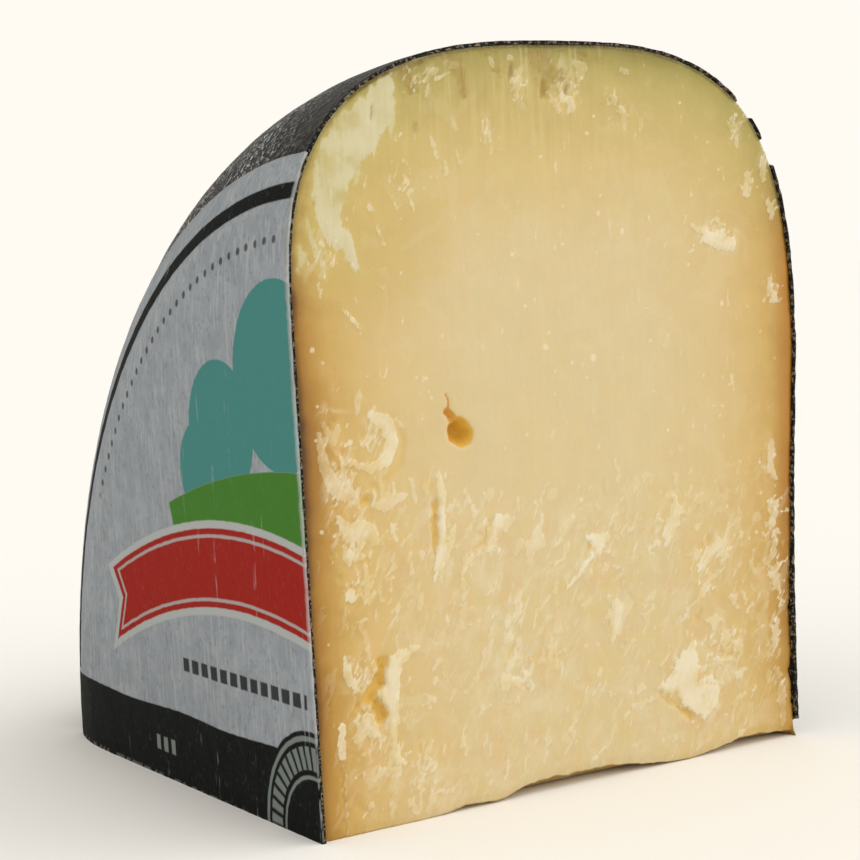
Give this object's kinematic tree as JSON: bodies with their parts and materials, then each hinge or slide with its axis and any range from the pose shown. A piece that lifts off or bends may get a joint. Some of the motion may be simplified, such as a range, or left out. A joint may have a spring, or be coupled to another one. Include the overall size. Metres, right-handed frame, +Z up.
{
  "type": "cheese wheel quarter",
  "caption": "Quarter of a small aged cheese wheel, standing on a cut face, with a black coat on its rim and round faces and a round paper label cut with it.",
  "frame": {"origin": "middle of the base of the bounding box: the base is the horizontal cut face that the quarter stands on", "axes": "+X along the wheel's axis, away from the labelled face; -Y out of the upright cut face; +Z up"},
  "size_m": [0.101, 0.122, 0.122],
  "materials": {
    "cheese_paste": "satin",
    "black_coating": "satin",
    "label_paper": "matte"
  },
  "bodies": {
    "root": {"cheese_quarter": "cheese_paste", "black_coat": "black_coating", "paper_label": "label_paper"}
  },
  "joints": []
}
